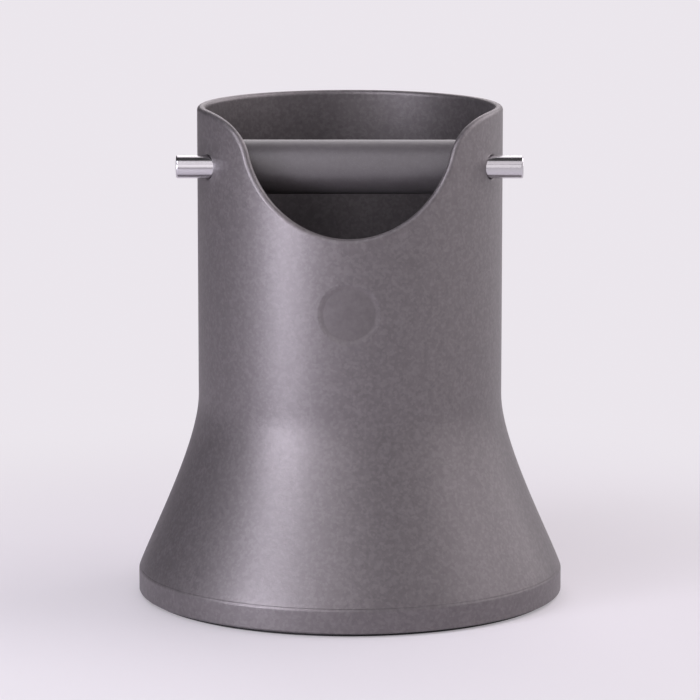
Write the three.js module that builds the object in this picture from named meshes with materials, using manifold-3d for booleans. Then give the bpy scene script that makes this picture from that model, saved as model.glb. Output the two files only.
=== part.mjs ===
// Espresso knock box: a flared bin with a notched mouth and a removable cushioned bar across it.
// Millimetres, +Z up, origin on the table under the centre of the bin, notch towards -Y.
import * as THREE from "three";
import { mergeVertices } from "three/addons/utils/BufferGeometryUtils.js";
import Module from "manifold-3d";

const wasm = await Module();
wasm.setup();

// Gap between pieces that meet, and how far cutting shapes run past what they cut.
const seatGap = 0.3;
const cutOverrun = 5;

// Bin shell: a straight neck that flares out to the foot.
const overallHeight = 175;
const neckRadius = 54;
const shellWall = 3;
const rimChamfer = 0.6;
const waistHeight = 71.9;
const waistHandle = 17.3;
const flareFootAngle = THREE.MathUtils.degToRad(20.8);
const flareFootHandle = 13;
const seamHeight = 10;
const registerWall = 4.7;

// Mouth notch: a round scoop whose shoulders roll out into the rim.
const notchRadius = 35.6;
const notchCentreDrop = 4.9;
const notchShoulderRadius = 17;
const notchRunoutAngle = THREE.MathUtils.degToRad(8);

// Plain round recess on the front of the neck.
const badgeRadius = 10;
const badgeDrop = 66.5;
const badgeDepth = 0.5;

// Base pan: plugs into the foot of the shell and closes the bin.
const bandRadius = 75.7;
const bandStep = 0.3;
const bandChamfer = 0.6;
const footProud = 1.2;
const panFloor = 3;
const spigotWall = 4.8;
const spigotFillet = 3;
const spigotLand = 0.8;
const spigotLead = 0.5;
const snapBead = 0.5;
const snapBeadWidth = 1.2;

// Seal round the spigot.
const sealThickness = 1.8;

// Rubber foot ring set in a groove under the pan.
const footRingInset = 2.3;
const footRingWidth = 6.4;
const footRingSeat = 3.2;
const footTreadWidth = 1.2;
const footTreadDepth = 0.7;

// Knock bar: a steel rod through both sides of the neck with a rubber sleeve on it.
const rodRadius = 4;
const rodProud = 10.8;
const rodChamfer = 0.5;
const rodDrop = 19.4;
const rodForward = 21;
const sleeveWall = 5.2;
const sleeveChamfer = 1;
const sleeveEndPlay = 0.5;

// Bosses inside the neck and the grommets that carry the rod in them.
const bossWall = 1.5;
const bossStand = 0.9;
const socketDepth = 3.2;
const grommetWall = 1.4;
const grommetFlange = 1.4;
const grommetFlangeWidth = 1.3;
const rodHoleClearance = 0.4;

// Facets.
const ringSides = 80;
const boreSides = 32;
const sealSides = 8;
const flareSteps = 12;
const notchSteps = 30;
const shoulderSteps = 8;
const filletSteps = 3;

// The plug between pan and shell, stacked up from the seam: land, seal groove, land, snap bead, lead.
const sealHeight = seamHeight + spigotLand + seatGap + sealThickness / 2;
const beadHeight = sealHeight + sealThickness / 2 + seatGap + spigotLand + snapBeadWidth / 2;
const spigotTop = beadHeight + snapBeadWidth / 2 + spigotLead;
const registerTop = spigotTop + seatGap;
const flareFootRadius = bandRadius - bandStep;
const registerRadius = flareFootRadius - registerWall;
const spigotRadius = registerRadius - seatGap;

// Foot ring place under the pan.
const footRingOuter = bandRadius - footRingInset;
const footRingInner = footRingOuter - footRingWidth;
const footRingHeight = footProud + footRingSeat;

// The rod's line, and everything round it from the rod outwards.
const neckBore = neckRadius - shellWall;
const rodAt = new THREE.Vector3(0, -rodForward, overallHeight - rodDrop);
const rodBore = rodRadius + seatGap;
const rodHoleRadius = rodRadius + rodHoleClearance;
const grommetRadius = rodBore + grommetWall;
const grommetFlangeRadius = grommetRadius + grommetFlangeWidth;
const socketRadius = grommetRadius + seatGap;
const bossRadius = socketRadius + bossWall;
const sleeveRadius = rodBore + sleeveWall;

// Distances along the rod from the middle of the bar.
const bossFace = chord(neckBore, rodForward + bossRadius) - bossStand;
const flangeFace = bossFace - seatGap - grommetFlange;
const sleeveEnd = flangeFace - sleeveEndPlay;
const rodEnd = chord(neckRadius, rodForward) + rodProud;

// Half the chord of a circle at a distance from its centre.
function chord(radius, distance) {
  return Math.sqrt(radius ** 2 - distance ** 2);
}

function solidOf(geometry) {
  const bare = geometry.clone();
  bare.deleteAttribute("normal");
  bare.deleteAttribute("uv");
  const merged = mergeVertices(bare);
  return new wasm.Manifold(
    new wasm.Mesh({
      numProp: 3,
      vertProperties: merged.attributes.position.array,
      triVerts: new Uint32Array(merged.index.array),
    }),
  );
}

function geometryOf(solid) {
  const mesh = solid.getMesh();
  const geometry = new THREE.BufferGeometry();
  geometry.setAttribute("position", new THREE.BufferAttribute(new Float32Array(mesh.vertProperties), 3));
  geometry.setIndex(new THREE.BufferAttribute(new Uint32Array(mesh.triVerts), 1));
  geometry.computeVertexNormals();
  return geometry;
}

// A profile of [radius, height] points turned about Z, listed clockwise with the radius to the right.
// A ring's profile closes on its first point; a solid's runs from the axis at the top to the axis below.
function turned(profile, sides) {
  const points = profile.map(([radius, height]) => new THREE.Vector2(radius, height));
  const closed = profile[0][0] > 0 ? [...points, points[0].clone()] : points;
  return new THREE.LatheGeometry(closed.reverse(), sides).rotateX(Math.PI / 2);
}

// The same turned piece laid along X, its profile heights running towards +X.
function turnedAlongX(profile, sides) {
  return turned(profile, sides).rotateY(Math.PI / 2);
}

// A plain cylinder along the rod's line from one x to another.
function rodLineCylinder(radius, fromX, toX) {
  const geometry = new THREE.CylinderGeometry(radius, radius, Math.abs(toX - fromX), boreSides);
  geometry.rotateZ(Math.PI / 2).translate((fromX + toX) / 2, rodAt.y, rodAt.z);
  return solidOf(geometry);
}

// A plain core on the bin's axis, between two heights.
function axisCore(radius, low, high) {
  const profile = [
    [0, high],
    [radius, high],
    [radius, low],
    [0, low],
  ];
  return solidOf(turned(profile, ringSides));
}

// The flare from the waist down to the foot, moved inwards by an inset.
function flarePoints(inset) {
  const uphill = new THREE.Vector2(-Math.sin(flareFootAngle), Math.cos(flareFootAngle));
  const foot = new THREE.Vector2(flareFootRadius, seamHeight);
  const curve = new THREE.CubicBezierCurve(
    new THREE.Vector2(neckRadius, waistHeight),
    new THREE.Vector2(neckRadius, waistHeight - waistHandle),
    foot.clone().addScaledVector(uphill, flareFootHandle),
    foot,
  );
  const points = [];
  for (let step = 0; step <= flareSteps; step += 1) {
    const at = curve.getPoint(step / flareSteps);
    const along = curve.getTangent(step / flareSteps);
    points.push([at.x + along.y * inset, at.y - along.x * inset]);
  }
  return points;
}

function shellProfile() {
  const inner = flarePoints(shellWall).filter(([, height]) => height > registerTop + shellWall);
  const [lastRadius, lastHeight] = inner.at(-1);
  const ledgeRadius = lastRadius + (lastHeight - registerTop) * Math.tan(flareFootAngle);
  return [
    [neckBore, overallHeight - rimChamfer],
    [neckBore + rimChamfer, overallHeight],
    [neckRadius - rimChamfer, overallHeight],
    [neckRadius, overallHeight - rimChamfer],
    ...flarePoints(0),
    [registerRadius, seamHeight],
    [registerRadius, beadHeight - snapBeadWidth / 2 - seatGap],
    [registerRadius + snapBead, beadHeight - seatGap],
    [registerRadius + snapBead, beadHeight + seatGap],
    [registerRadius, beadHeight + snapBeadWidth / 2 + seatGap],
    [registerRadius, registerTop],
    [Math.min(ledgeRadius, registerRadius - snapBead), registerTop],
    ...inner.reverse(),
  ];
}

// The notch seen from the front, from above the rim on one side, down round the scoop, and up to the other.
function notchOutline() {
  const centre = new THREE.Vector2(0, overallHeight - notchCentreDrop);
  const shoulderHeight = overallHeight - notchShoulderRadius;
  const shoulderX = chord(notchRadius + notchShoulderRadius, centre.y - shoulderHeight);
  const meet = Math.atan2(centre.y - shoulderHeight, shoulderX);
  const shoulder = [];
  for (let step = 0; step <= shoulderSteps; step += 1) {
    const turn = THREE.MathUtils.lerp(notchRunoutAngle, Math.PI / 2 + meet, step / shoulderSteps);
    shoulder.push(
      new THREE.Vector2(
        shoulderX - notchShoulderRadius * Math.sin(turn),
        shoulderHeight + notchShoulderRadius * Math.cos(turn),
      ),
    );
  }
  const top = overallHeight + cutOverrun;
  const runoutX = shoulder[0].x + (top - shoulder[0].y) / Math.tan(notchRunoutAngle);
  const right = [new THREE.Vector2(runoutX, top), ...shoulder];
  const scoop = [];
  for (let step = 1; step < notchSteps; step += 1) {
    const turn = THREE.MathUtils.lerp(-meet, meet - Math.PI, step / notchSteps);
    scoop.push(new THREE.Vector2(notchRadius * Math.cos(turn), centre.y + notchRadius * Math.sin(turn)));
  }
  const left = right.map((point) => new THREE.Vector2(-point.x, point.y)).reverse();
  return [...right, ...scoop, ...left];
}

function notchCutter() {
  const depth = neckRadius + cutOverrun;
  const outline = new THREE.Shape(notchOutline());
  return solidOf(new THREE.ExtrudeGeometry(outline, { depth, bevelEnabled: false }).rotateX(Math.PI / 2));
}

// A disc pointing forwards, with its back hollowed to follow the neck.
function badgeCutter() {
  const badgeHeight = overallHeight - badgeDrop;
  const reach = badgeRadius + cutOverrun;
  const disc = new THREE.CylinderGeometry(badgeRadius, badgeRadius, neckRadius, boreSides);
  disc.translate(0, -neckRadius, badgeHeight);
  return solidOf(disc).subtract(axisCore(neckRadius - badgeDepth, badgeHeight - reach, badgeHeight + reach));
}

// Bosses on the inner wall, trimmed to the middle of the wall.
function bosses() {
  const right = rodLineCylinder(bossRadius, bossFace, neckRadius);
  const left = rodLineCylinder(bossRadius, -neckRadius, -bossFace);
  return right.add(left).intersect(axisCore(neckRadius - shellWall / 2, waistHeight, overallHeight));
}

function shell() {
  let solid = solidOf(turned(shellProfile(), ringSides)).add(bosses());
  for (const side of [1, -1]) {
    const socketEnd = side * (bossFace + socketDepth);
    solid = solid
      .subtract(rodLineCylinder(socketRadius, side * (bossFace - cutOverrun), socketEnd))
      .subtract(rodLineCylinder(rodHoleRadius, side * bossFace, side * (neckRadius + cutOverrun)));
  }
  return geometryOf(solid.subtract(notchCutter()).subtract(badgeCutter()));
}

// The band carries the flare's slope on past the seam, then drops straight to its foot.
function basePan() {
  const floorTop = footProud + panFloor;
  const spigotBore = spigotRadius - spigotWall;
  const sealFloor = spigotRadius - sealThickness - seatGap;
  const sealHalf = sealThickness / 2 + seatGap;
  const fillet = [];
  for (let step = 0; step <= filletSteps; step += 1) {
    const turn = THREE.MathUtils.lerp(Math.PI / 2, 0, step / filletSteps);
    fillet.push([
      spigotBore - spigotFillet * (1 - Math.cos(turn)),
      floorTop + spigotFillet * (1 - Math.sin(turn)),
    ]);
  }
  const profile = [
    [0, floorTop],
    ...fillet,
    [spigotBore, spigotTop],
    [spigotRadius, spigotTop],
    [spigotRadius, beadHeight + snapBeadWidth / 2],
    [spigotRadius + snapBead, beadHeight],
    [spigotRadius, beadHeight - snapBeadWidth / 2],
    [spigotRadius, sealHeight + sealHalf],
    [sealFloor, sealHeight + sealHalf],
    [sealFloor, sealHeight - sealHalf],
    [spigotRadius, sealHeight - sealHalf],
    [spigotRadius, seamHeight - seatGap],
    [flareFootRadius, seamHeight - seatGap],
    [bandRadius, seamHeight - bandStep / Math.tan(flareFootAngle)],
    [bandRadius, footProud + bandChamfer],
    [bandRadius - bandChamfer, footProud],
    [footRingOuter + seatGap, footProud],
    [footRingOuter + seatGap, footRingHeight + seatGap],
    [footRingInner - seatGap, footRingHeight + seatGap],
    [footRingInner - seatGap, footProud],
    [0, footProud],
  ];
  return turned(profile, ringSides);
}

function baseSeal() {
  const radius = sealThickness / 2;
  const profile = [];
  for (let step = 0; step < sealSides; step += 1) {
    const turn = (-2 * Math.PI * step) / sealSides;
    profile.push([spigotRadius - radius + radius * Math.cos(turn), sealHeight + radius * Math.sin(turn)]);
  }
  return turned(profile, ringSides);
}

// A flat ring with one tread groove round its underside.
function footRing() {
  const treadOuter = footRingOuter - (footRingWidth - footTreadWidth) / 2;
  const profile = [
    [footRingInner, 0],
    [footRingInner, footRingHeight],
    [footRingOuter, footRingHeight],
    [footRingOuter, 0],
    [treadOuter, 0],
    [treadOuter, footTreadDepth],
    [treadOuter - footTreadWidth, footTreadDepth],
    [treadOuter - footTreadWidth, 0],
  ];
  return turned(profile, ringSides);
}

function rod() {
  const profile = [
    [0, rodEnd],
    [rodRadius - rodChamfer, rodEnd],
    [rodRadius, rodEnd - rodChamfer],
    [rodRadius, rodChamfer - rodEnd],
    [rodRadius - rodChamfer, -rodEnd],
    [0, -rodEnd],
  ];
  return turnedAlongX(profile, boreSides);
}

function sleeve() {
  const profile = [
    [rodBore, -sleeveEnd],
    [rodBore, sleeveEnd],
    [sleeveRadius - sleeveChamfer, sleeveEnd],
    [sleeveRadius, sleeveEnd - sleeveChamfer],
    [sleeveRadius, sleeveChamfer - sleeveEnd],
    [sleeveRadius - sleeveChamfer, -sleeveEnd],
  ];
  return turnedAlongX(profile, boreSides);
}

// A top-hat grommet whose barrel points towards +X, its flange against the boss face.
function grommet() {
  const barrelEnd = bossFace + socketDepth - seatGap;
  const profile = [
    [rodBore, flangeFace],
    [rodBore, barrelEnd],
    [grommetRadius, barrelEnd],
    [grommetRadius, bossFace - seatGap],
    [grommetFlangeRadius, bossFace - seatGap],
    [grommetFlangeRadius, flangeFace],
  ];
  return turnedAlongX(profile, boreSides);
}

const greyPlastic = { color: 0x6f6b70, roughness: 0.5, metalness: 0.1 };
const greyRubber = { color: 0x5c5a5e, roughness: 0.45, metalness: 0 };
const blackRubber = { color: 0x232326, roughness: 0.85, metalness: 0 };
const polishedSteel = { color: 0xc9c9cc, roughness: 0.2, metalness: 1 };

function named(name, geometry, finish) {
  const mesh = new THREE.Mesh(geometry, new THREE.MeshStandardMaterial(finish));
  mesh.name = name;
  return mesh;
}

const bin = new THREE.Group();
bin.add(named("body_shell", shell(), greyPlastic));
bin.add(named("base_pan", basePan(), greyPlastic));
bin.add(named("base_seal", baseSeal(), blackRubber));
bin.add(named("foot_ring", footRing(), blackRubber));

const knockBar = new THREE.Group();
knockBar.position.copy(rodAt);
knockBar.add(named("bar_rod", rod(), polishedSteel));
knockBar.add(named("bar_sleeve", sleeve(), greyRubber));
knockBar.add(named("rod_grommet_right", grommet(), blackRubber));
const leftGrommet = named("rod_grommet_left", grommet(), blackRubber);
leftGrommet.rotation.z = Math.PI;
knockBar.add(leftGrommet);
bin.add(knockBar);

export default bin;
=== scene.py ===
import math

import bmesh
import bpy
import numpy as np
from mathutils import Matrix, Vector


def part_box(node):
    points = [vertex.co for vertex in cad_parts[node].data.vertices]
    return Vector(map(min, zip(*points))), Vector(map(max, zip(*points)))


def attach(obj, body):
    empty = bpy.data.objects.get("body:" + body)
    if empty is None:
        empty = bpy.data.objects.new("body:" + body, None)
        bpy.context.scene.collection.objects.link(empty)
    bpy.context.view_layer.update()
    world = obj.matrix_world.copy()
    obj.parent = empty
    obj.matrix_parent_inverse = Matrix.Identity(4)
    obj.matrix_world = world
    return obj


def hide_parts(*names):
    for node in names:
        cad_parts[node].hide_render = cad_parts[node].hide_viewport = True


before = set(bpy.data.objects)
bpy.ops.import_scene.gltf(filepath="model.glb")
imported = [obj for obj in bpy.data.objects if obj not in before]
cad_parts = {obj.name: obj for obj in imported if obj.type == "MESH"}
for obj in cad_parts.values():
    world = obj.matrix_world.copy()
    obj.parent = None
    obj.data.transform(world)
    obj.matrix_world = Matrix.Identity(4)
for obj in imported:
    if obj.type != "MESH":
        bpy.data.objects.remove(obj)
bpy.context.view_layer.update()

# An espresso knock box: flared bin, scooped mouth, cushioned bar on a steel rod. In metres, its notch
# faces -Y.
rodLow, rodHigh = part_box("bar_rod")
sleeveLow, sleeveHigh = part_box("bar_sleeve")
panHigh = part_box("base_pan")[1]
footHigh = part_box("foot_ring")[1]
sealLow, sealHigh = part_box("base_seal")
flangeLow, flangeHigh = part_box("rod_grommet_right")
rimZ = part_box("body_shell")[1].z
rodY = (rodLow.y + rodHigh.y) / 2
rodZ = (rodLow.z + rodHigh.z) / 2
bandRadius = panHigh.x
onAxisReach = 1e-9  # a profile's point nearer the axis than this lies on it
print(f"frame loaded, {len(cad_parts)} nodes, rim at {rimZ * 1000:.1f} mm")


# Directions that turn evenly from one unit vector to another, one row for each share of the turn: each
# is sin((1 - share) * turn) of the first plus sin(share * turn) of the second, over sin(turn).
def turnBetween(fromDir, toDir, shares):
    turn = np.arccos(np.clip((fromDir * toDir).sum(-1), -1, 1))[..., None]
    share = shares.reshape((-1,) + (1,) * fromDir.ndim)
    return (np.sin((1 - share) * turn) * fromDir + np.sin(share * turn) * toDir) / np.sin(turn)


# A closed profile of [radius, height, rounding] corners. Each rounded corner becomes an arc that touches
# both edges: its centre lies on the line that halves the corner, rounding / sin(half the angle) away.
def roundedProfile(corners, steps=6):
    points = []
    corners = np.array(corners, float)
    for before, here, after in zip(np.roll(corners, 1, 0), corners, np.roll(corners, -1, 0)):
        place, rounding = here[:2], here[2]
        if rounding == 0:
            points.append(place[None])
            continue
        toBefore = (before[:2] - place) / np.linalg.norm(before[:2] - place)
        toAfter = (after[:2] - place) / np.linalg.norm(after[:2] - place)
        half = math.acos(np.clip(toBefore @ toAfter, -1, 1)) / 2
        middle = (toBefore + toAfter) / np.linalg.norm(toBefore + toAfter)
        centre = place + middle * rounding / math.sin(half)
        first = (place + toBefore * rounding / math.tan(half) - centre) / rounding
        last = (place + toAfter * rounding / math.tan(half) - centre) / rounding
        points.append(centre + rounding * turnBetween(first, last, np.linspace(0, 1, steps + 1)))
    return np.concatenate(points)


# Adds a point near each end of every long straight edge of a profile, so that its shading stays flat:
# the end plus the edge's direction times the reach. The edge along the axis, which only closes the
# profile, gets none.
def heldFlat(profile, reach=0.0002):
    edge = np.roll(profile, -1, 0) - profile
    length = np.linalg.norm(edge, axis=1, keepdims=True)
    way = edge / np.maximum(length, reach)
    onAxis = (profile[:, 0] < onAxisReach) & (np.roll(profile[:, 0], -1) < onAxisReach)
    shortest = 4 * reach
    held = (length[:, 0] > shortest) & ~onAxis
    triples = np.stack([profile, profile + reach * way, profile + edge - reach * way], 1)
    return triples[np.stack([np.ones(len(profile), bool), held, held], 1)]


# Vertex numbers of the quads between neighbouring rows and columns of a grid that closes round its
# columns: start + row * columns + column.
def gridQuads(rows, columns, start=0, closeRows=False):
    row = np.arange(rows if closeRows else rows - 1)[:, None]
    column = np.arange(columns)[None, :]
    nextRow = (row + 1) % rows
    nextColumn = (column + 1) % columns
    corners = [row * columns + column, row * columns + nextColumn, nextRow * columns + nextColumn,
               nextRow * columns + column]
    return start + np.stack(np.broadcast_arrays(*corners), -1)


# Quads between two closed loops that hold the same number of vertices: each one's own, its next, and the
# other loop's next and own.
def loopQuads(loopA, loopB):
    return np.stack([loopA, np.roll(loopA, -1), np.roll(loopB, -1), loopB], -1)


# Triangles from each pair of neighbours on a closed loop to one vertex.
def fanFaces(loop, pole):
    return np.stack([loop, np.roll(loop, -1), np.full_like(loop, pole)], -1)


# Puts points and faces into a closed mesh object with outward faces, smooth except where two faces turn
# by more than the sharp angle, and hands it to the frame in place of its nodes.
def makePiece(name, points, faceSets, material, body, nodes, sharpAngle=32):
    mesh = bpy.data.meshes.new(name)
    faces = [face for faces in faceSets for face in faces.reshape(-1, faces.shape[-1]).tolist()]
    mesh.from_pydata(points.tolist(), [], faces)
    work = bmesh.new()
    work.from_mesh(mesh)
    bmesh.ops.delete(work, geom=[v for v in work.verts if not v.link_faces], context="VERTS")
    bmesh.ops.recalc_face_normals(work, faces=work.faces)
    openEdges = sum(not edge.is_manifold for edge in work.edges)
    work.to_mesh(mesh)
    work.free()
    mesh.shade_smooth()
    mesh.set_sharp_from_angle(angle=math.radians(sharpAngle))
    mesh.materials.append(material)
    piece = bpy.data.objects.new(name, mesh)
    bpy.context.scene.collection.objects.link(piece)
    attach(piece, body)
    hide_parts(*nodes)
    print(f"{name}: {len(mesh.polygons)} faces, {openEdges} open edges")


# A profile turned about the bin's axis, or about the rod's line: radius times the turn's cosine and sine
# across the line, the profile's height along it. Rows follow the profile, columns go round.
def turnedPiece(name, profile, columns, material, body, nodes, alongRod=False):
    profile = heldFlat(profile)
    turn = np.linspace(0, 2 * np.pi, columns, endpoint=False)
    onAxis = profile[:, 0] < onAxisReach
    ring = profile[~onAxis]
    radius, height = ring[:, :1], np.repeat(ring[:, 1:], columns, 1)
    if alongRod:
        points = np.stack([height, rodY + radius * np.cos(turn), rodZ + radius * np.sin(turn)], -1)
    else:
        points = np.stack([radius * np.cos(turn), radius * np.sin(turn), height], -1)
    faceSets = [gridQuads(len(ring), columns, closeRows=not onAxis.any())]
    points = points.reshape(-1, 3)
    if onAxis.any():
        ends = profile[onAxis][[0, -1], 1]
        poles = [[h, rodY, rodZ] if alongRod else [0, 0, h] for h in ends]
        around = np.arange(columns)
        faceSets.append(fanFaces(around + (len(ring) - 1) * columns, len(points) + 1))
        faceSets.append(fanFaces(around, len(points)))
        points = np.concatenate([points, poles])
    makePiece(name, points, faceSets, material, body, nodes)


# Adds a shader node with its settings, and links a socket or sets a value on each input that is named.
def addNode(tree, kind, inputs=None, **settings):
    node = tree.nodes.new(kind)
    for key, value in settings.items():
        setattr(node, key, value)
    for key, value in (inputs or {}).items():
        if isinstance(value, bpy.types.NodeSocket):
            tree.links.new(value, node.inputs[key])
        else:
            node.inputs[key].default_value = value
    return node


# One sum of numbers in a shader: operation(first, second, third).
def mathNode(tree, operation, first, second=0.0, third=0.0, clamp=False):
    return addNode(tree, "ShaderNodeMath", {0: first, 1: second, 2: third}, operation=operation,
                   use_clamp=clamp).outputs[0]


# first * (1 - share) + second * share, as colours. A mix node's colours have no names of their own, so
# they are reached by number.
def mixColor(tree, share, first, second):
    firstColor, secondColor, mixedColor = 6, 7, 2
    node = addNode(tree, "ShaderNodeMix", {"Factor": share, firstColor: first, secondColor: second},
                   data_type="RGBA")
    return node.outputs[mixedColor]


# An empty node group with named sockets, each given as label, kind and, for an input, its usual value.
def newGroup(name, inputs, outputs):
    group = bpy.data.node_groups.new(name, "ShaderNodeTree")
    for label, kind, value in inputs:
        socket = group.interface.new_socket(label, in_out="INPUT", socket_type=kind)
        socket.default_value = value
    for label, kind in outputs:
        group.interface.new_socket(label, in_out="OUTPUT", socket_type=kind)
    return group, group.nodes.new("NodeGroupInput"), group.nodes.new("NodeGroupOutput")


# The noises that every moulded grain shares. Flecks reach full strength at a share of the tones above
# their threshold; the mottle's reach brings both noises' spread to about one.
grainShape = dict(
    fineDetail=3.0, fineRoughness=0.6, broadScale=0.4, broadDetail=2.0, waveDetail=1.0, noiseMiddle=0.5,
    fleckEdge=0.5, mottleReach=4.0, unevenGloss=0.2, smoothGloss=-0.08,
)


# Moulded grain: a fine uneven skin, small flecks that shine in another way, a slow mottling and a long
# low wave. Its height is the fine noise plus the broad one, plus the wave times its own height. Its
# colour is the plain one or the fleck's, times a shade: 1 plus both noises, less their middle, times the
# mottle and its reach.
def grainGroup(s):
    group, into, out = newGroup(
        "mouldedGrain",
        [("Color", "NodeSocketColor", (0.16, 0.16, 0.16, 1)),
         ("Fleck Color", "NodeSocketColor", (0.2, 0.2, 0.2, 1)),
         ("Grain Scale", "NodeSocketFloat", 1500), ("Fleck Scale", "NodeSocketFloat", 4200),
         ("Fleck Share", "NodeSocketFloat", 0.3), ("Mottle", "NodeSocketFloat", 0.05),
         ("Wave Scale", "NodeSocketFloat", 90), ("Wave Height", "NodeSocketFloat", 0.0),
         ("Metal", "NodeSocketFloat", 0.0), ("Fleck Metal", "NodeSocketFloat", 0.0),
         ("Roughness", "NodeSocketFloat", 0.42), ("Smooth", "NodeSocketFloat", 0)],
        [("Color", "NodeSocketColor"), ("Metal", "NodeSocketFloat"), ("Roughness", "NodeSocketFloat"),
         ("Height", "NodeSocketFloat")])
    place = addNode(group, "ShaderNodeTexCoord").outputs["Object"]
    grain = addNode(group, "ShaderNodeTexNoise", {
        "Vector": place, "Scale": into.outputs["Grain Scale"], "Detail": s["fineDetail"],
        "Roughness": s["fineRoughness"]}).outputs["Fac"]
    broadScale = mathNode(group, "MULTIPLY", into.outputs["Grain Scale"], s["broadScale"])
    broad = addNode(group, "ShaderNodeTexNoise", {
        "Vector": place, "Scale": broadScale, "Detail": s["broadDetail"]}).outputs["Fac"]
    cells = addNode(group, "ShaderNodeTexVoronoi", {"Vector": place, "Scale": into.outputs["Fleck Scale"]})
    tone = addNode(group, "ShaderNodeSeparateColor", {"Color": cells.outputs["Color"]}).outputs[0]
    share = into.outputs["Fleck Share"]
    plain = mathNode(group, "SUBTRACT", 1.0, into.outputs["Smooth"], clamp=True)
    above = mathNode(group, "SUBTRACT", tone, mathNode(group, "SUBTRACT", 1.0, share))
    strong = mathNode(group, "MULTIPLY", share, s["fleckEdge"])
    fleck = mathNode(group, "MULTIPLY", mathNode(group, "DIVIDE", above, strong, clamp=True), plain)
    fineSwing = mathNode(group, "SUBTRACT", grain, s["noiseMiddle"])
    broadSwing = mathNode(group, "SUBTRACT", broad, s["noiseMiddle"])
    both = mathNode(group, "ADD", fineSwing, broadSwing)
    mottle = mathNode(group, "MULTIPLY", into.outputs["Mottle"], s["mottleReach"])
    shade = mathNode(group, "MULTIPLY_ADD", both, mottle, 1.0)
    flecked = mixColor(group, fleck, into.outputs["Color"], into.outputs["Fleck Color"])
    toned = addNode(group, "ShaderNodeVectorMath", {0: flecked, "Scale": shade},
                    operation="SCALE").outputs[0]
    group.links.new(toned, out.inputs["Color"])
    metalStep = mathNode(group, "SUBTRACT", into.outputs["Fleck Metal"], into.outputs["Metal"])
    metal = mathNode(group, "MULTIPLY_ADD", fleck, metalStep, into.outputs["Metal"])
    group.links.new(metal, out.inputs["Metal"])
    uneven = mathNode(group, "MULTIPLY", fineSwing, mathNode(group, "MULTIPLY", plain, s["unevenGloss"]))
    rough = mathNode(group, "ADD", into.outputs["Roughness"], uneven)
    rough = mathNode(group, "MULTIPLY_ADD", into.outputs["Smooth"], s["smoothGloss"], rough)
    group.links.new(rough, out.inputs["Roughness"])
    wave = addNode(group, "ShaderNodeTexNoise", {
        "Vector": place, "Scale": into.outputs["Wave Scale"], "Detail": s["waveDetail"]}).outputs["Fac"]
    noises = mathNode(group, "ADD", grain, broad)
    skin = mathNode(group, "MULTIPLY_ADD", wave, into.outputs["Wave Height"], noises)
    group.links.new(mathNode(group, "MULTIPLY", skin, plain), out.inputs["Height"])
    return group


# The noise that makes rubbed lines
brushShape = dict(roundScale=60, detail=4.0, noiseMiddle=0.5)


# Fine rubbed lines round a bar: noise read at x times the line scale, and at y and z times the round
# scale. Roughness is the bar's own plus the noise less its middle, times the spread.
def brushedGroup(s):
    group, into, out = newGroup(
        "rubbedLines", [("Line Scale", "NodeSocketFloat", 4000), ("Roughness", "NodeSocketFloat", 0.2),
                        ("Spread", "NodeSocketFloat", 0.1)],
        [("Mask", "NodeSocketFloat"), ("Roughness", "NodeSocketFloat")])
    place = addNode(group, "ShaderNodeTexCoord").outputs["Object"]
    apart = addNode(group, "ShaderNodeSeparateXYZ", {"Vector": place})
    along = mathNode(group, "MULTIPLY", apart.outputs["X"], into.outputs["Line Scale"])
    across, up = [mathNode(group, "MULTIPLY", apart.outputs[axis], s["roundScale"]) for axis in ("Y", "Z")]
    spot = addNode(group, "ShaderNodeCombineXYZ", {"X": along, "Y": across, "Z": up}).outputs[0]
    lines = addNode(group, "ShaderNodeTexNoise", {
        "Vector": spot, "Scale": 1.0, "Detail": s["detail"]}).outputs["Fac"]
    group.links.new(lines, out.inputs["Mask"])
    swing = mathNode(group, "SUBTRACT", lines, s["noiseMiddle"])
    rough = mathNode(group, "MULTIPLY_ADD", swing, into.outputs["Spread"], into.outputs["Roughness"])
    group.links.new(rough, out.inputs["Roughness"])
    return group


# A new material with its node tree and its Principled shader.
def newMaterial(name):
    material = bpy.data.materials.new(name)
    material.use_nodes = True
    tree = material.node_tree
    return material, tree, tree.nodes["Principled BSDF"]


# Puts a node group into a material with that material's own values.
def placeGroup(tree, group, values):
    node = addNode(tree, "ShaderNodeGroup", node_tree=group)
    for key, value in values.items():
        node.inputs[key].default_value = value
    return node


mouldedGrain = grainGroup(grainShape)
rubbedLines = brushedGroup(brushShape)


# Plastic or rubber with the moulded grain; its relief is the group's height times the grain's depth in
# metres.
def grainedMaterial(name, values, specular=0.5, grainDepth=0.00003):
    material, tree, shader = newMaterial(name)
    grain = placeGroup(tree, mouldedGrain, values)
    tree.links.new(grain.outputs["Color"], shader.inputs["Base Color"])
    tree.links.new(grain.outputs["Roughness"], shader.inputs["Roughness"])
    if values.get("Metal"):
        tree.links.new(grain.outputs["Metal"], shader.inputs["Metallic"])
    raised = addNode(tree, "ShaderNodeBump", {
        "Strength": 1.0, "Distance": grainDepth, "Height": grain.outputs["Height"]})
    tree.links.new(raised.outputs["Normal"], shader.inputs["Normal"])
    shader.inputs["Specular IOR Level"].default_value = specular
    return material, tree, grain


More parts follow.
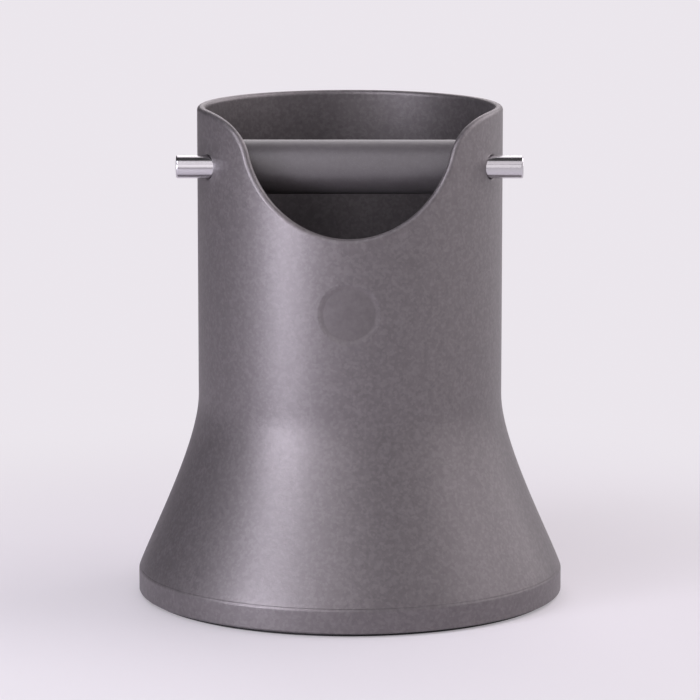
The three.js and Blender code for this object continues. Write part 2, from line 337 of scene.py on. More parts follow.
# Bin shell. The flare's extra row near the foot, and the wall's last two rows, hold the shading flat at
# the seam and under the lip.
shell = dict(
    neckRadius=0.054, wall=0.003, rimRound=0.00145,
    notchRadius=0.0356, notchCentreDrop=0.0049, shoulderRadius=0.017,
    waistZ=0.0719, waistHandle=0.0173,
    footRadius=bandRadius - 0.0003, footZ=0.010, footAngle=math.radians(20.8), footHandle=0.013,
    footRound=0.00008,
    registerRadius=bandRadius - 0.005, registerTop=0.016, beadZ=0.0146, beadHalf=0.0009, beadFlat=0.0003,
    beadDepth=0.0005, ledgeRound=0.0006, cornerSteps=4,
    recessRadius=0.010, recessDrop=0.0665, recessDepth=0.0003, recessEdge=0.001, recessRound=0.003,
    recessMargin=0.0035, recessRunIn=0.003, recessOuterRings=5, recessInnerRings=7,
    polishOut=0.0002, polishIn=0.0006,
    holeRadius=0.00415, holeRound=0.0008, holeRings=3,
    bossRadius=0.0075, bossFace=flangeLow.x + 0.0017, bossRound=0.0003, bossRoot=0.0003, bossMargin=0.0018,
    bossOuterRings=5, bossInnerRings=3, bossRoundRings=5, bossHeightColumn=4,
    socketRadius=0.006, socketDepth=0.0032,
    scoopColumns=46, shoulderColumns=20, backColumns=96,
    wallRows=74, wallNextToLast=0.994, wallLast=0.998, flareRows=26, flareExtraRow=0.008, roundRows=8,
)


# Shares that part a span evenly, without its ends: 1, 2 and so on, over one more than their count.
def innerShares(count):
    return np.linspace(0, 1, count + 2)[1:-1]


# Half of the mouth's outline seen from the front: the scoop's arc, then the shoulder's arc out to the
# flat rim. Each is its centre plus its radius times the cosine and sine of its angle; they meet on the
# line between their centres. Gives x and z, and the unit direction from the mouth into the wall.
def mouthOutline(s):
    centreZ = rimZ - s["notchCentreDrop"]
    shoulderZ = rimZ - s["shoulderRadius"]
    reach = s["notchRadius"] + s["shoulderRadius"]
    shoulderX = math.sqrt(reach ** 2 - (centreZ - shoulderZ) ** 2)
    meet = math.atan2(centreZ - shoulderZ, shoulderX)
    scoop = np.linspace(-np.pi / 2, -meet, s["scoopColumns"], endpoint=False)
    roll = np.linspace(np.pi - meet, np.pi / 2, s["shoulderColumns"])
    x = np.concatenate([s["notchRadius"] * np.cos(scoop), shoulderX + s["shoulderRadius"] * np.cos(roll)])
    z = np.concatenate([centreZ + s["notchRadius"] * np.sin(scoop),
                        shoulderZ + s["shoulderRadius"] * np.sin(roll)])
    intoX = np.concatenate([np.cos(scoop), -np.cos(roll)])
    intoZ = np.concatenate([np.sin(scoop), -np.sin(roll)])
    return x, z, intoX, intoZ


# The flare as a cubic curve from the foot up to the waist: the four points times (1-t)^3, 3(1-t)^2 t,
# 3(1-t)t^2 and t^3. It is moved inwards along its own normal, which for a slope (r, z) is (-z, r).
def flareCurve(s, inset, shares):
    start = np.array([s["footRadius"], s["footZ"]])
    startHandle = start + s["footHandle"] * np.array([-math.sin(s["footAngle"]), math.cos(s["footAngle"])])
    end = np.array([s["neckRadius"], s["waistZ"]])
    endHandle = end - [0, s["waistHandle"]]
    t = shares[:, None]
    rest = 1 - t
    place = (rest ** 3 * start + 3 * rest ** 2 * t * startHandle + 3 * rest * t ** 2 * endHandle
             + t ** 3 * end)
    along = (rest ** 2 * (startHandle - start) + 2 * rest * t * (endHandle - startHandle)
             + t ** 2 * (end - endHandle))
    along /= np.linalg.norm(along, axis=1, keepdims=True)
    inwards = along[:, ::-1] * [-1, 1]
    return place + inset * inwards


# Places at a radius, a height and a turn from the front: (radius sin turn, -radius cos turn, height).
def aroundAxis(radius, z, turn):
    radius, z, turn = np.broadcast_arrays(radius, z, turn)
    return np.stack([radius * np.sin(turn), -radius * np.cos(turn), z], -1)


# The shell's closed section, row by row and all the way round, and the row at which each part of it
# starts. Each rim edge is a ball rolled along the mouth: its centre plus its radius times a direction
# that turns from the wall's to the mouth's. A row's own turn is the arc sine of the mouth's x over the
# radius.
def shellRows(s):
    x, z, intoX, intoZ = mouthOutline(s)
    back = np.linspace(0, 1, s["backColumns"] + 1)[1:]
    outerBall = s["neckRadius"] - s["rimRound"]
    innerBall = s["neckRadius"] - s["wall"] + s["rimRound"]
    ballX = x + s["rimRound"] * intoX
    ballZ = np.concatenate([z + s["rimRound"] * intoZ, np.full(len(back), rimZ - s["rimRound"])])
    voidX = np.concatenate([-intoX, np.zeros(len(back))])
    voidZ = np.concatenate([-intoZ, np.ones(len(back))])
    voidDir = np.stack([voidX, np.zeros(len(voidX)), voidZ], -1)
    turns, rounds = [], []
    for ball in (outerBall, innerBall):
        front = np.arcsin(ballX / ball)
        turn = np.concatenate([front, front[-1] + back * (np.pi - front[-1])])
        centre = aroundAxis(ball, ballZ, turn)
        outwards = aroundAxis(1.0, 0.0, turn)
        shares = np.linspace(0, 1, s["roundRows"] + 1)
        if ball == outerBall:
            rounds.append(centre + s["rimRound"] * turnBetween(outwards, voidDir, shares))
        else:
            rounds.append(centre + s["rimRound"] * turnBetween(voidDir, -outwards, shares))
        turns.append(turn)
    outerTurn, innerTurn = turns
    wallShares = np.append(np.linspace(0, s["wallNextToLast"], s["wallRows"] - 1), s["wallLast"])[:, None]
    wallZ = s["waistZ"] + wallShares * (ballZ - s["waistZ"])
    flareShares = np.insert(np.linspace(0, 1, s["flareRows"] + 1)[:-1], 1, s["flareExtraRow"])
    outerFlare = flareCurve(s, 0, flareShares)
    innerFlare = flareCurve(s, s["wall"], flareShares)
    innerFlare = innerFlare[innerFlare[:, 1] > s["registerTop"] + s["wall"] / 2]
    ledge = innerFlare[0, 0] + (innerFlare[0, 1] - s["registerTop"]) * math.tan(s["footAngle"])
    groove = s["registerRadius"] + s["beadDepth"]
    lower = roundedProfile([
        [outerFlare[1, 0], outerFlare[1, 1], 0], [innerFlare[0, 0], innerFlare[0, 1], 0],
        [ledge, s["registerTop"], s["ledgeRound"]], [s["registerRadius"], s["registerTop"], 0],
        [s["registerRadius"], s["beadZ"] + s["beadHalf"], 0], [groove, s["beadZ"] + s["beadFlat"], 0],
        [groove, s["beadZ"] - s["beadFlat"], 0], [s["registerRadius"], s["beadZ"] - s["beadHalf"], 0],
        [s["registerRadius"], s["footZ"], s["footRound"]], [s["footRadius"], s["footZ"], s["footRound"]],
    ], s["cornerSteps"])[2:]
    blend = np.linspace(1, 0, len(lower))[:, None]
    rows = [
        aroundAxis(outerFlare[1:, :1], outerFlare[1:, 1:], outerTurn),
        aroundAxis(s["neckRadius"], wallZ, outerTurn),
        rounds[0], rounds[1],
        aroundAxis(s["neckRadius"] - s["wall"], wallZ[::-1], innerTurn),
        aroundAxis(innerFlare[::-1, :1], innerFlare[::-1, 1:], innerTurn),
        aroundAxis(lower[:, :1], lower[:, 1:], blend * innerTurn + (1 - blend) * outerTurn),
    ]
    starts = np.cumsum([0] + [len(r) for r in rows])
    half = np.concatenate(rows)
    mirrored = half * [-1, 1, 1]
    return np.concatenate([mirrored[:, :0:-1], half[:, :-1]], 1), starts


# The closed loop of grid places round a window: along its first row, up its last column, back along its
# last row and down its first column.
def windowLoop(firstRow, lastRow, firstColumn, lastColumn):
    step = 1 if lastRow > firstRow else -1
    up = np.arange(firstRow, lastRow, step)
    across = np.arange(firstColumn, lastColumn)
    rows = np.concatenate([np.full(len(across), firstRow), up, np.full(len(across), lastRow),
                           np.arange(lastRow, firstRow, -step)])
    columns = np.concatenate([across, np.full(len(up), lastColumn), np.arange(lastColumn, firstColumn, -1),
                              np.full(len(up), firstColumn)])
    return rows, columns


# The last index before a range of rising values and the first one after it.
def rangeAround(values, low, high):
    inside = np.flatnonzero((values > low) & (values < high))
    return inside[0] - 1, inside[-1] + 1


# The recess: rings on the neck round its centre, whose depth follows a rounded step, closed by a pole. A
# ring's place is its centre plus its reach along each loop vertex's own turn, wrapped onto the neck: the
# way across, over the neck's radius, is the turn about the bin's axis.
def recessRings(s, loopPoints):
    recessZ = rimZ - s["recessDrop"]
    across = s["neckRadius"] * np.arctan2(loopPoints[:, 0], -loopPoints[:, 1])
    up = loopPoints[:, 2] - recessZ
    turn, reach = np.arctan2(up, across), np.hypot(across, up)
    farAway = -1
    step = roundedProfile([
        [0, farAway, 0], [s["recessRadius"] + s["recessRunIn"], 0, 0],
        [s["recessRadius"] + s["recessEdge"], 0, s["recessRound"]],
        [s["recessRadius"] - s["recessEdge"], s["recessDepth"], s["recessRound"]], [0, s["recessDepth"], 0],
    ])[1:-1]
    inner = step[-1, 0] * innerShares(s["recessInnerRings"])[::-1]
    radii = np.concatenate([step[:, 0], inner])
    depths = np.concatenate([step[:, 1], np.full(len(inner), s["recessDepth"])])
    shares = innerShares(s["recessOuterRings"])[:, None]
    rings = np.concatenate([reach + shares * (radii[0] - reach), np.repeat(radii[:, None], len(turn), 1)])
    sunk = np.concatenate([np.zeros(len(shares)), depths])[:, None]
    about = rings * np.cos(turn) / s["neckRadius"]
    points = aroundAxis(s["neckRadius"] - sunk, recessZ + rings * np.sin(turn), about)
    pole = aroundAxis(s["neckRadius"] - s["recessDepth"], recessZ, 0.0)
    return points, pole


# The way through a side of the neck, as rings round the rod's line: outer wall, hole, socket, boss,
# inner wall. A ring has a reach from the line and an x for each turn. On a wall that x is the root of
# wall radius squared less y squared; on a rounded edge, reach and x move by the round's radius times 1 -
# sine and 1 - cosine.
def bossRings(s, outerLoop, innerLoop):
    # turn and reach of a loop's vertices about the rod's line
    def polar(loop):
        turn = np.unwrap(np.arctan2(loop[:, 2] - rodZ, loop[:, 1] - rodY))
        return turn, np.hypot(loop[:, 1] - rodY, loop[:, 2] - rodZ)

    outerTurn, outerReach = polar(outerLoop)
    innerTurn, innerReach = polar(innerLoop)

    # how far out the round wall is at a reach and turn about the rod's line
    def wallX(wallRadius, reach, turn):
        return np.sqrt(wallRadius ** 2 - (rodY + reach * np.cos(turn)) ** 2)

    rings = []

    # adds the ring with this reach, turn and x
    def addRing(reach, turn, x):
        places = np.broadcast_arrays(x, rodY + reach * np.cos(turn), rodZ + reach * np.sin(turn))
        rings.append(np.stack(places, -1))

    outer, inner = s["neckRadius"], s["neckRadius"] - s["wall"]
    edge, root = s["holeRound"], s["bossRoot"]
    quarter = np.linspace(0, np.pi / 2, s["bossRoundRings"])
    for share in innerShares(s["bossOuterRings"]):
        reach = outerReach + share * (s["holeRadius"] + edge - outerReach)
        addRing(reach, outerTurn, wallX(outer, reach, outerTurn))
    for angle in quarter:
        reach = s["holeRadius"] + edge * (1 - math.sin(angle))
        addRing(reach, outerTurn, wallX(outer, reach, outerTurn) - edge * (1 - math.cos(angle)))
    socketEnd = s["bossFace"] + s["socketDepth"]
    boreStart = wallX(outer, s["holeRadius"], outerTurn) - edge
    for share in np.linspace(0, 1, s["holeRings"] + 1)[1:]:
        turn = outerTurn + share * (innerTurn - outerTurn)
        addRing(s["holeRadius"], turn, boreStart + share * (socketEnd - boreStart))
    addRing(s["socketRadius"], innerTurn, socketEnd)
    addRing(s["socketRadius"], innerTurn, s["bossFace"])
    for angle in quarter:
        reach = s["bossRadius"] - s["bossRound"] * (1 - math.sin(angle))
        addRing(reach, innerTurn, s["bossFace"] + s["bossRound"] * (1 - math.cos(angle)))
    for angle in quarter:
        reach = s["bossRadius"] + root * (1 - math.cos(angle))
        addRing(reach, innerTurn, wallX(inner, reach, innerTurn) - root * (1 - math.sin(angle)))
    for share in innerShares(s["bossInnerRings"]):
        reach = s["bossRadius"] + root + share * (innerReach - s["bossRadius"] - root)
        addRing(reach, innerTurn, wallX(inner, reach, innerTurn))
    return np.stack(rings)


# The whole shell: the wrapped section's grid with three windows cut in it, each filled with its own
# rings.
def buildShell(s, material):
    grid, starts = shellRows(s)
    rows, columns = grid.shape[:2]
    quads = gridQuads(rows, columns, closeRows=True)
    keep = np.ones(quads.shape[:2], bool)
    outerWall, innerWall = starts[1], starts[4]
    turns = np.arctan2(grid[outerWall, :, 0], -grid[outerWall, :, 1])
    points, faceSets = [grid.reshape(-1, 3)], []
    count = rows * columns

    # joins rings to the window's loop, and their last ring to a second loop where there is one
    def addRings(rings, loopBefore, loopAfter=None):
        nonlocal count
        first = count + np.arange(rings.shape[1])
        faceSets.append(gridQuads(*rings.shape[:2], start=count))
        faceSets.append(loopQuads(loopBefore, first))
        last = first + (rings.shape[0] - 1) * rings.shape[1]
        points.append(rings.reshape(-1, 3))
        count += rings.shape[0] * rings.shape[1]
        if loopAfter is not None:
            faceSets.append(loopQuads(last, loopAfter))
        return last

    # the recess on the front
    half = s["recessRadius"] + s["recessMargin"]
    recessZ = rimZ - s["recessDrop"]
    firstColumn, lastColumn = rangeAround(turns * s["neckRadius"], -half, half)
    wallZ = grid[outerWall:outerWall + s["wallRows"], columns // 2, 2]
    firstRow, lastRow = np.array(rangeAround(wallZ, recessZ - half, recessZ + half)) + outerWall
    keep[firstRow:lastRow, firstColumn:lastColumn] = False
    loopRows, loopColumns = windowLoop(firstRow, lastRow, firstColumn, lastColumn)
    rings, pole = recessRings(s, grid[loopRows, loopColumns])
    last = addRings(rings, loopRows * columns + loopColumns)
    points.append(pole[None])
    faceSets.append(fanFaces(last, count))
    count += 1

    # the rod's way through each side
    half = s["bossRadius"] + s["bossMargin"]
    innerPlace = grid[innerWall, :, 1] * np.where(grid[innerWall, :, 0] > 0, 1, np.nan)
    firstColumn, lastColumn = rangeAround(innerPlace, rodY - half, rodY + half)
    wallZ = grid[outerWall:outerWall + s["wallRows"], firstColumn + s["bossHeightColumn"], 2]
    low, high = rangeAround(wallZ, rodZ - half, rodZ + half)
    topInner = innerWall + s["wallRows"] - 1
    outerRows, outerColumns = windowLoop(outerWall + low, outerWall + high, firstColumn, lastColumn)
    innerRows, innerColumns = windowLoop(topInner - low, topInner - high, firstColumn, lastColumn)
    rightRings = bossRings(s, grid[outerRows, outerColumns], grid[innerRows, innerColumns])
    for side in (1, -1):
        outerAt = outerColumns if side == 1 else (columns - outerColumns) % columns
        innerAt = innerColumns if side == 1 else (columns - innerColumns) % columns
        ends = (firstColumn, lastColumn) if side == 1 else (columns - lastColumn, columns - firstColumn)
        across = slice(*ends)
        keep[outerWall + low:outerWall + high, across] = False
        keep[topInner - high:topInner - low, across] = False
        addRings(rightRings * [side, 1, 1], outerRows * columns + outerAt, innerRows * columns + innerAt)
    faceSets.append(quads[keep])
    makePiece("binShell", np.concatenate(points), faceSets, material, "housing",
              ["body_shell"])


# Grey speckled plastic; the recess is left smooth by a mask measured from its centre.
greyPlastic, greyTree, greyGrain = grainedMaterial("greySpeckledPlastic", {
    "Color": (0.155, 0.141, 0.146, 1), "Fleck Color": (0.168, 0.153, 0.158, 1), "Grain Scale": 1000,
    "Fleck Scale": 1050, "Fleck Share": 0.5, "Mottle": 0.08, "Metal": 0.66, "Fleck Metal": 0.54,
    "Roughness": 0.46}, specular=1.0, grainDepth=0.00004)
greyPlace = addNode(greyTree, "ShaderNodeTexCoord").outputs["Object"]
recessCentre = (0, -shell["neckRadius"], rimZ - shell["recessDrop"])
fromRecess = addNode(greyTree, "ShaderNodeVectorMath", {0: greyPlace, 1: recessCentre},
                    operation="DISTANCE").outputs["Value"]
recessMask = addNode(greyTree, "ShaderNodeMapRange", {
    "Value": fromRecess, "From Min": shell["recessRadius"] + shell["polishOut"],
    "From Max": shell["recessRadius"] - shell["polishIn"]}).outputs[0]
greyTree.links.new(recessMask, greyGrain.inputs["Smooth"])
buildShell(shell, greyPlastic)

# Base pan, with the band that shows under the flare
pan = dict(
    seamGap=0.00003, seamRound=0.00008, bandTopRound=0.002, bandFootRound=0.0006, underside=0.0012,
    floor=0.003, spigotWall=0.0048, spigotFillet=0.003, spigotRound=0.0005, spigotEdge=0.0003,
    spigotFoot=0.0002, sealGroove=0.0021, sealHalf=0.0012, sealEdge=0.0001, beadHalf=0.0006,
    beadRound=0.0002, footWidth=0.0064, footEdge=0.0002, grooveClear=0.0003, cornerSteps=7, columns=288,
)


# The pan's section from the middle of its floor: plug with bead and seal groove, band, foot ring's
# groove and underside. Its corners come from the CAD boxes and the shell's own sizes, less the
# clearance. The band's top edge lies on the flare's line: as far down as the band stands out, over the
# tangent of the flare's angle.
def panProfile(s):
    seam = shell["footZ"] - s["seamGap"]
    spigot = shell["registerRadius"] - s["grooveClear"]
    bore = spigot - s["spigotWall"]
    floorZ = s["underside"] + s["floor"]
    bead = shell["beadZ"]
    sealZ = (sealLow.z + sealHigh.z) / 2
    sealFloor = spigot - s["sealGroove"]
    ringOuter = footHigh.x + s["grooveClear"]
    ringInner = footHigh.x - s["footWidth"] - s["grooveClear"]
    ringTop = footHigh.z + s["grooveClear"]
    bandTop = seam - (bandRadius - shell["footRadius"]) / math.tan(shell["footAngle"])
    return roundedProfile([
        [0, floorZ, 0], [bore, floorZ, s["spigotFillet"]], [bore, panHigh.z, s["spigotRound"]],
        [spigot, panHigh.z, s["spigotEdge"]], [spigot, bead + s["beadHalf"], 0],
        [spigot + shell["beadDepth"], bead, s["beadRound"]], [spigot, bead - s["beadHalf"], 0],
        [spigot, sealZ + s["sealHalf"], s["sealEdge"]], [sealFloor, sealZ + s["sealHalf"], 0],
        [sealFloor, sealZ - s["sealHalf"], 0], [spigot, sealZ - s["sealHalf"], s["sealEdge"]],
        [spigot, seam, s["spigotFoot"]], [shell["footRadius"], seam, s["seamRound"]],
        [bandRadius, bandTop, s["bandTopRound"]], [bandRadius, s["underside"], s["bandFootRound"]],
        [ringOuter, s["underside"], s["footEdge"]], [ringOuter, ringTop, 0], [ringInner, ringTop, 0],
        [ringInner, s["underside"], s["footEdge"]], [0, s["underside"], 0],
    ], s["cornerSteps"])


turnedPiece("basePan", panProfile(pan), pan["columns"], greyPlastic, "housing", ["base_pan"])

# Black rubber: foot ring, seal and grommets
blackRubber = grainedMaterial("blackRubber", {
    "Color": (0.018, 0.018, 0.02, 1), "Fleck Color": (0.03, 0.03, 0.03, 1), "Grain Scale": 2400,
    "Fleck Scale": 2500, "Fleck Share": 0.1, "Mottle": 0.1, "Roughness": 0.62}, specular=0.4)[0]

footRing = dict(width=pan["footWidth"], edgeRound=0.0005, treadWidth=0.0012, treadDepth=0.0007,
                treadRound=0.0002, columns=256)


# The foot ring's square section with one tread groove in the middle of its underside.
def footProfile(s):
    outer, inner, top = footHigh.x, footHigh.x - s["width"], footHigh.z
    tread = outer - (s["width"] - s["treadWidth"]) / 2
    return roundedProfile([
        [inner, 0, s["edgeRound"]], [inner, top, s["edgeRound"]], [outer, top, s["edgeRound"]],
        [outer, 0, s["edgeRound"]], [tread, 0, s["treadRound"]], [tread, s["treadDepth"], s["treadRound"]],
        [tread - s["treadWidth"], s["treadDepth"], s["treadRound"]],
        [tread - s["treadWidth"], 0, s["treadRound"]],
    ])


turnedPiece("footRing", footProfile(footRing), footRing["columns"], blackRubber, "housing",
            ["foot_ring"])

# Seal ring, round in section
seal = dict(sides=20, columns=192)
sealRadius = (sealHigh.z - sealLow.z) / 2
sealTurn = np.linspace(0, 2 * np.pi, seal["sides"], endpoint=False)
sealProfile = np.stack([sealHigh.x - sealRadius * (1 - np.cos(sealTurn)),
                        (sealLow.z + sealHigh.z) / 2 + sealRadius * np.sin(sealTurn)], -1)
turnedPiece("sealRing", sealProfile, seal["columns"], blackRubber, "housing", ["base_seal"])

# Grommets in their sockets, flange towards the sleeve
grommet = dict(seatGap=0.0001, bore=0.00405, barrelClear=0.0001, barrelRound=0.0001, edgeRound=0.0004,
               columns=96)


# A grommet's top-hat section along the rod: flange, seat, barrel; side -1 mirrors it to the left.
def grommetProfile(s, side):
    flangeRadius = (flangeHigh.z - flangeLow.z) / 2
    barrel = shell["socketRadius"] - s["barrelClear"]
    seat = shell["bossFace"] - s["seatGap"]
    profile = roundedProfile([
        [s["bore"], flangeLow.x, s["edgeRound"]], [flangeRadius, flangeLow.x, s["edgeRound"]],
        [flangeRadius, seat, s["edgeRound"]], [barrel, seat, s["barrelRound"]],
        [barrel, flangeHigh.x, s["edgeRound"]], [s["bore"], flangeHigh.x, s["edgeRound"]],
    ])
    return profile * [1, side]


for word, side in (("Right", 1), ("Left", -1)):
    turnedPiece("rodGrommet" + word, grommetProfile(grommet, side), grommet["columns"], blackRubber,
                "housing", ["rod_grommet_" + word.lower()], alongRod=True)

# Rubber sleeve on the rod
greyRubber = grainedMaterial("greyRubber", {
    "Color": (0.089, 0.081, 0.085, 1), "Fleck Color": (0.103, 0.094, 0.099, 1), "Grain Scale": 1300,
    "Fleck Scale": 3200, "Fleck Share": 0.2, "Mottle": 0.08, "Roughness": 0.44, "Wave Scale": 130,
    "Wave Height": 9.0}, specular=1.0, grainDepth=0.000015)[0]
sleeve = dict(bore=0.00403, boreRound=0.0004, endRound=0.0013, columns=128)
sleeveRadius = (sleeveHigh.z - sleeveLow.z) / 2
sleeveCorners = [
    [sleeve["bore"], sleeveLow.x, sleeve["boreRound"]], [sleeve["bore"], sleeveHigh.x, sleeve["boreRound"]],
    [sleeveRadius, sleeveHigh.x, sleeve["endRound"]], [sleeveRadius, sleeveLow.x, sleeve["endRound"]],
]
turnedPiece("barSleeve", roundedProfile(sleeveCorners), sleeve["columns"], greyRubber, "sleeve",
            ["bar_sleeve"], alongRod=True)

# Polished steel rod
steel, steelTree, steelShader = newMaterial("polishedSteel")
steelLines = placeGroup(steelTree, rubbedLines, {"Line Scale": 5000, "Roughness": 0.17, "Spread": 0.06})
steelTree.links.new(steelLines.outputs["Roughness"], steelShader.inputs["Roughness"])
steelBump = addNode(steelTree, "ShaderNodeBump", {"Strength": 0.15, "Distance": 0.00001,
                                                  "Height": steelLines.outputs["Mask"]})
steelTree.links.new(steelBump.outputs["Normal"], steelShader.inputs["Normal"])
steelShader.inputs["Base Color"].default_value = (0.62, 0.61, 0.63, 1)
steelShader.inputs["Metallic"].default_value = 1.0

rod = dict(endRound=0.0006, columns=96)
rodRadius = (rodHigh.z - rodLow.z) / 2
rodCorners = [
    [0, rodLow.x, 0], [rodRadius, rodLow.x, rod["endRound"]], [rodRadius, rodHigh.x, rod["endRound"]],
    [0, rodHigh.x, 0],
]
turnedPiece("barRod", roundedProfile(rodCorners), rod["columns"], steel, "rod", ["bar_rod"],
            alongRod=True)

# Floor: it shows as an even pale white that gives way, near the bin, to a lit surface with its shadow.
# Gloss sees that white too, less of it on the left than on the right.
paleWhite = (0.832, 0.793, 0.842, 1)
ground = dict(
    half=8.0, color=(0.80, 0.765, 0.81, 1), roughness=0.8, specular=0.1,
    nearReach=0.08, farReach=0.34, nearShare=0.35,
    leftX=-0.2, rightX=0.25, leftGloss=0.1, rightGloss=0.9,
)
floorHalf = ground["half"]
floorCorners = [(x * floorHalf, y * floorHalf, 0) for x, y in ((-1, -1), (1, -1), (1, 1), (-1, 1))]
floorMesh = bpy.data.meshes.new("floor")
floorMesh.from_pydata(floorCorners, [], [(0, 1, 2, 3)])
floorMaterial, floorTree, floorShader = newMaterial("paleFloor")
floorShader.inputs["Base Color"].default_value = ground["color"]
floorShader.inputs["Roughness"].default_value = ground["roughness"]
floorShader.inputs["Specular IOR Level"].default_value = ground["specular"]


# Two masks: 1 for rays straight from the camera, and 1 for rays by way of gloss or glass, the larger of
# the two.
def seenRays(tree):
    path = addNode(tree, "ShaderNodeLightPath")
    glossy = mathNode(tree, "MAXIMUM", path.outputs["Is Glossy Ray"], path.outputs["Is Transmission Ray"])
    return path.outputs["Is Camera Ray"], glossy


floorCamera, floorGlossy = seenRays(floorTree)
floorPlace = addNode(floorTree, "ShaderNodeTexCoord").outputs["Object"]
floorAway = addNode(floorTree, "ShaderNodeVectorMath", {0: floorPlace}, operation="LENGTH").outputs["Value"]
floorFade = addNode(floorTree, "ShaderNodeMapRange", {
    "Value": floorAway, "From Min": ground["nearReach"], "From Max": ground["farReach"],
    "To Min": ground["nearShare"], "To Max": 1.0}, interpolation_type="SMOOTHSTEP").outputs[0]
floorX = addNode(floorTree, "ShaderNodeSeparateXYZ", {"Vector": floorPlace}).outputs["X"]
floorGlossShare = addNode(floorTree, "ShaderNodeMapRange", {
    "Value": floorX, "From Min": ground["leftX"], "From Max": ground["rightX"], "To Min": ground["leftGloss"],
    "To Max": ground["rightGloss"]}, interpolation_type="SMOOTHSTEP").outputs[0]
floorGlossy = mathNode(floorTree, "MULTIPLY", floorGlossy, floorGlossShare)
floorEither = mathNode(floorTree, "MAXIMUM", floorCamera, floorGlossy)
floorSeen = mathNode(floorTree, "MULTIPLY", floorEither, floorFade)
floorWhite = addNode(floorTree, "ShaderNodeEmission", {"Color": paleWhite, "Strength": 1.0})
floorMix = addNode(floorTree, "ShaderNodeMixShader", {
    0: floorSeen, 1: floorShader.outputs[0], 2: floorWhite.outputs[0]})
floorTree.links.new(floorMix.outputs[0], floorTree.nodes["Material Output"].inputs["Surface"])
floorMesh.materials.append(floorMaterial)
floor = bpy.data.objects.new("floor", floorMesh)
bpy.context.scene.collection.objects.link(floor)

# Camera: where the picture was taken from, and how wide it looks
cameraPlace = dict(distance=1.45, height=0.330, azimuth=math.radians(0.3), aimZ=0.0873, lens=212,
                   nearClip=0.1)
cameraData = bpy.data.cameras.new("camera")
cameraData.lens = cameraPlace["lens"]
cameraData.clip_start = cameraPlace["nearClip"]
camera = bpy.data.objects.new("camera", cameraData)
camera.location = (cameraPlace["distance"] * math.sin(cameraPlace["azimuth"]),
                   -cameraPlace["distance"] * math.cos(cameraPlace["azimuth"]), cameraPlace["height"])
aim = Vector((0, 0, cameraPlace["aimZ"])) - camera.location
camera.rotation_euler = aim.to_track_quat("-Z", "Y").to_euler()
bpy.context.scene.collection.objects.link(camera)
bpy.context.scene.camera = camera

# Lamps: a tall bluish key light at the front left, made of four panels, and a warmer fill all round
keyTint = (0.906, 0.891, 1.0)
fillTint = (1.0, 0.945, 0.986)
lampAimZ = 0.09


# A soft panel light, aimed at the bin from its distance times (sin bearing cos rise, -cos bearing cos
# rise, sin rise). Bearing 0 is the camera's side, 90 is +X. Sizes in metres, power in watts.
def addPanel(name, bearing, rise, distance, width, tall, power, tint=fillTint):
    data = bpy.data.lights.new(name, "AREA")
    data.shape = "RECTANGLE"
    data.size, data.size_y = width, tall
    data.energy = power
    data.color = tint
    panel = bpy.data.objects.new(name, data)
    b, r = math.radians(bearing), math.radians(rise)
    place = Vector((math.sin(b) * math.cos(r), -math.cos(b) * math.cos(r), math.sin(r))) * distance
    panel.location = place + Vector((0, 0, lampAimZ))
    panel.rotation_euler = (-place).to_track_quat("-Z", "Y").to_euler()
    panel.visible_camera = False
    bpy.context.scene.collection.objects.link(panel)


addPanel("keyLowPanel", -44, 0, 0.6, 0.2, 0.17, 0.72, keyTint)
addPanel("keyMiddlePanel", -44, 16, 0.6, 0.2, 0.17, 0.64, keyTint)
addPanel("keyHighPanel", -44, 50, 0.6, 0.26, 0.2, 0.93, keyTint)
addPanel("keySidePanel", -52, 8, 0.6, 0.14, 0.34, 0.79, keyTint)
addPanel("frontLowPanel", -13, 17, 1.4, 1.1, 0.8, 2.24)
addPanel("frontHighPanel", 0, 52, 1.4, 0.8, 0.8, 1.6)
addPanel("frontRightPanel", 45, 15, 1.4, 0.8, 0.8, 1.1)
addPanel("frontRightHighPanel", 50, 52, 1.4, 0.8, 0.8, 1.2)
addPanel("rightPanel", 80, 17, 1.4, 0.8, 0.8, 3.6)
addPanel("rightHighPanel", 100, 50, 1.4, 0.8, 0.8, 5.7)
addPanel("sidePanel", 120, 17, 1.4, 0.8, 0.8, 3.54)
addPanel("backSidePanel", 140, 30, 1.4, 0.8, 0.8, 3.75)
addPanel("backPanel", 180, 30, 1.4, 0.8, 0.8, 4.2)
addPanel("backHighPanel", 180, 55, 1.4, 0.8, 0.6, 1.6)

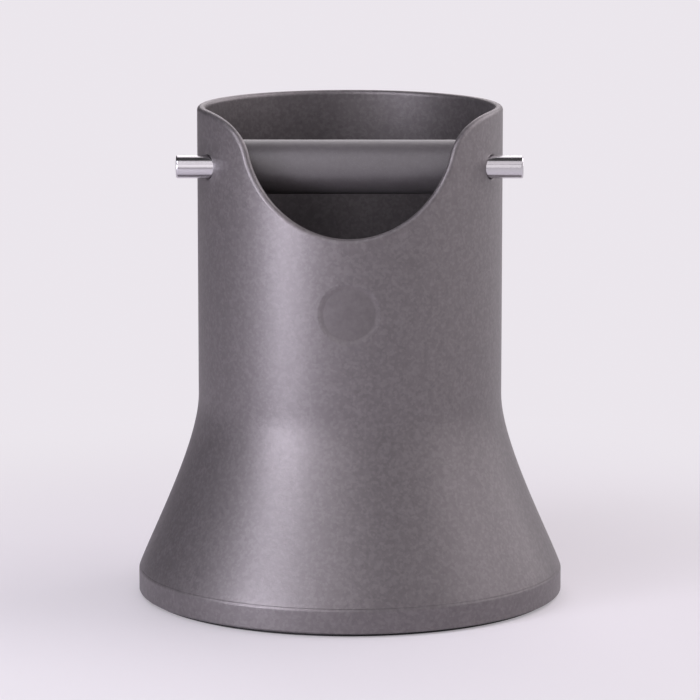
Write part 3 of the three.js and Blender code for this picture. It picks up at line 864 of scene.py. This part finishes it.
# World: the camera sees white. Gloss sees that white towards the bright front left of the studio, its
# share falling with the turn away from there, and a dim room elsewhere, dimmer on the left. The object
# also gets a faint even light.
studio = dict(bearing=math.radians(-42), rise=math.radians(14), innerTurn=math.radians(16),
              outerTurn=math.radians(54), leftRoom=0.02, rightRoom=0.11, roomReach=0.5, softLight=0.01,
              softTint=(1.0, 0.97, 1.0, 1))
world = bpy.data.worlds.new("studio")
bpy.context.scene.world = world
world.use_nodes = True
worldTree = world.node_tree
softLight = worldTree.nodes["Background"]
softLight.inputs["Color"].default_value = studio["softTint"]
softLight.inputs["Strength"].default_value = studio["softLight"]
brightWay = (math.sin(studio["bearing"]) * math.cos(studio["rise"]),
             -math.cos(studio["bearing"]) * math.cos(studio["rise"]), math.sin(studio["rise"]))
skyWay = addNode(worldTree, "ShaderNodeTexCoord").outputs["Generated"]
towards = addNode(worldTree, "ShaderNodeVectorMath", {0: skyWay, 1: brightWay},
                  operation="DOT_PRODUCT").outputs["Value"]
skyX = addNode(worldTree, "ShaderNodeSeparateXYZ", {"Vector": skyWay}).outputs["X"]
room = addNode(worldTree, "ShaderNodeMapRange", {
    "Value": skyX, "From Min": -studio["roomReach"], "From Max": studio["roomReach"],
    "To Min": studio["leftRoom"], "To Max": studio["rightRoom"]}).outputs[0]
whiteShare = addNode(worldTree, "ShaderNodeMapRange", {
    "Value": towards, "From Min": math.cos(studio["outerTurn"]), "From Max": math.cos(studio["innerTurn"]),
    "To Min": room, "To Max": 1.0}, interpolation_type="SMOOTHSTEP").outputs[0]
whiteView = addNode(worldTree, "ShaderNodeBackground", {"Color": paleWhite, "Strength": 1.0})
worldCamera, worldGlossy = seenRays(worldTree)
worldGlossy = mathNode(worldTree, "MULTIPLY", worldGlossy, whiteShare)
worldSeen = mathNode(worldTree, "MAXIMUM", worldCamera, worldGlossy)
worldMix = addNode(worldTree, "ShaderNodeMixShader", {
    0: worldSeen, 1: softLight.outputs[0], 2: whiteView.outputs[0]})
worldTree.links.new(worldMix.outputs[0], worldTree.nodes["World Output"].inputs["Surface"])
bpy.context.scene.view_settings.view_transform = "Standard"
print("lights, camera and floor are set")
